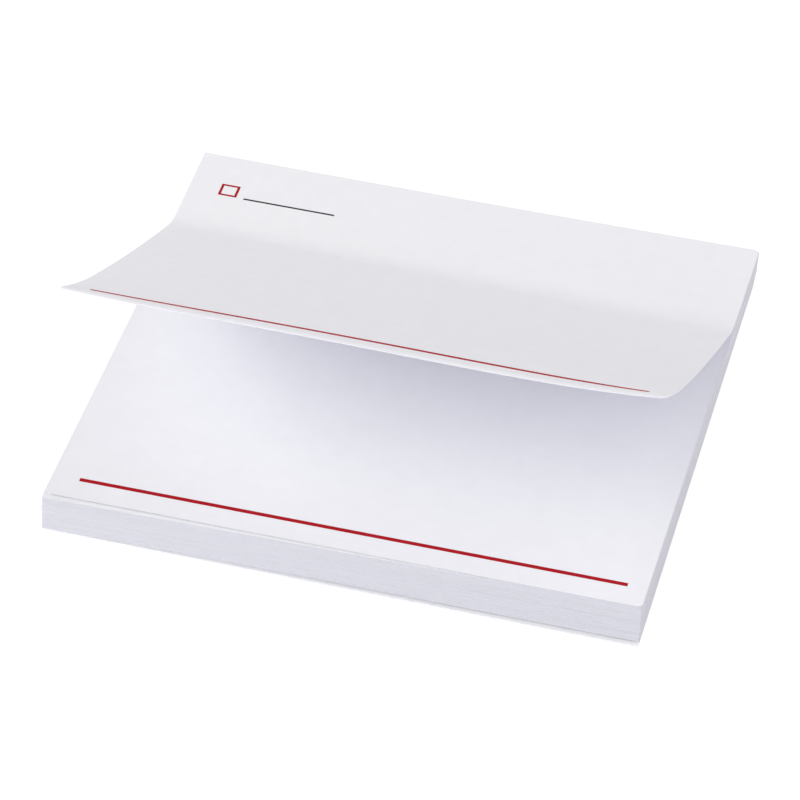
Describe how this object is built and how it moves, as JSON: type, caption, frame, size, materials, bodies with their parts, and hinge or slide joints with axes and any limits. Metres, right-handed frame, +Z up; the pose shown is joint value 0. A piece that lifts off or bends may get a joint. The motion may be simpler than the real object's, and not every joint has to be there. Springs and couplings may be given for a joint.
{
  "type": "sticky note pad",
  "caption": "Square pad of white repositionable sticky notes on a backing sheet, its top note stuck down along the rear edge and curling up off the block.",
  "frame": {"origin": "centre of the underside of the backing sheet, the face that the pad lies on", "axes": "+Z up out of the pad, +Y towards the rear edge where the notes are glued, +X to the right of someone writing on it"},
  "size_m": [0.0758, 0.0759, 0.0331],
  "materials": {
    "note_paper": "uncoated white paper, edges cut and slightly uneven",
    "top_note_paper": "uncoated white paper",
    "backing_paper": "smooth release paper",
    "adhesive": "thin translucent low-tack film",
    "red_ink": "matt printed ink"
  },
  "bodies": {
    "root": {"backing_sheet": "backing_paper", "sheet_block": "note_paper", "adhesive_strip": "adhesive", "top_sheet": "top_note_paper", "top_sheet_rule": "red_ink", "block_rule": "red_ink"}
  },
  "joints": []
}
